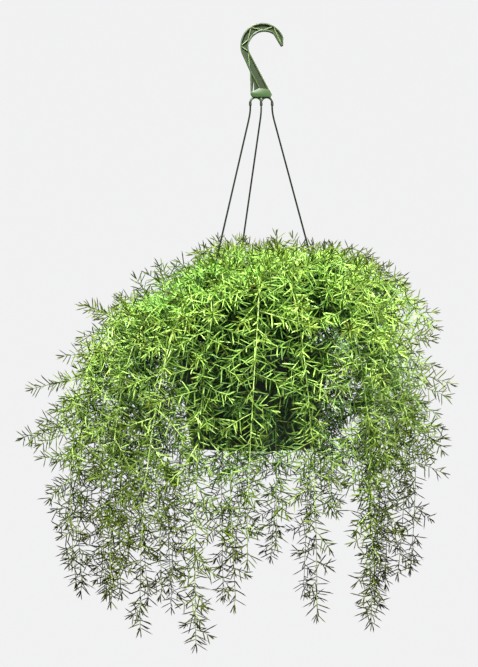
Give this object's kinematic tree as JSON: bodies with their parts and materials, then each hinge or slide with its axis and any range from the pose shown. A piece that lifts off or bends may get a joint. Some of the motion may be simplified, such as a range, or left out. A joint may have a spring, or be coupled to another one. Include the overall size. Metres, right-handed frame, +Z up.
{
  "type": "asparagus fern in hanging basket",
  "caption": "Asparagus fern with a dome of needle-like foliage and long trailing stems, in a dark round nursery pot hung by slim strands from a moulded plastic hook.",
  "frame": {"origin": "the point under the top of the hook's crook that bears on a rail or ceiling hook", "axes": "+Z up along the hanging direction, +X to the viewer's right in the plane of the hook's crook, +Y away from the viewer"},
  "size_m": [0.6565, 0.5301, 0.9289],
  "materials": {
    "hook_plastic": "satin moulded",
    "strand_plastic": "satin moulded",
    "pot_plastic": "satin moulded",
    "soil": "rough, damp",
    "foliage": "matte leaf"
  },
  "bodies": {
    "root": {"hook": "hook_plastic", "hanger_strand_left": "strand_plastic", "hanger_strand_back": "strand_plastic", "hanger_strand_right": "strand_plastic", "pot": "pot_plastic", "potting_soil": "soil", "trailing_stem_01": "foliage", "trailing_stem_02": "foliage", "trailing_stem_03": "foliage", "trailing_stem_04": "foliage", "trailing_stem_05": "foliage", "trailing_stem_06": "foliage", "trailing_stem_07": "foliage", "trailing_stem_08": "foliage", "trailing_stem_09": "foliage", "trailing_stem_10": "foliage", "trailing_stem_11": "foliage", "trailing_stem_12": "foliage", "trailing_stem_13": "foliage", "trailing_stem_14": "foliage", "trailing_stem_15": "foliage", "trailing_stem_16": "foliage", "trailing_stem_17": "foliage", "trailing_stem_18": "foliage", "arching_stem_01": "foliage", "arching_stem_02": "foliage", "arching_stem_03": "foliage", "arching_stem_04": "foliage", "arching_stem_05": "foliage", "arching_stem_06": "foliage", "arching_stem_07": "foliage", "arching_stem_08": "foliage", "arching_stem_09": "foliage", "arching_stem_10": "foliage", "arching_stem_11": "foliage", "arching_stem_12": "foliage", "arching_stem_13": "foliage", "reaching_stem_01": "foliage", "reaching_stem_02": "foliage", "reaching_stem_03": "foliage", "reaching_stem_04": "foliage", "reaching_stem_05": "foliage", "reaching_stem_06": "foliage", "crown_stem_01": "foliage", "crown_stem_02": "foliage", "crown_stem_03": "foliage", "crown_stem_04": "foliage", "crown_stem_05": "foliage", "crown_stem_06": "foliage", "crown_stem_07": "foliage", "crown_stem_08": "foliage", "crown_stem_09": "foliage", "crown_stem_10": "foliage", "crown_stem_11": "foliage"}
  },
  "joints": []
}
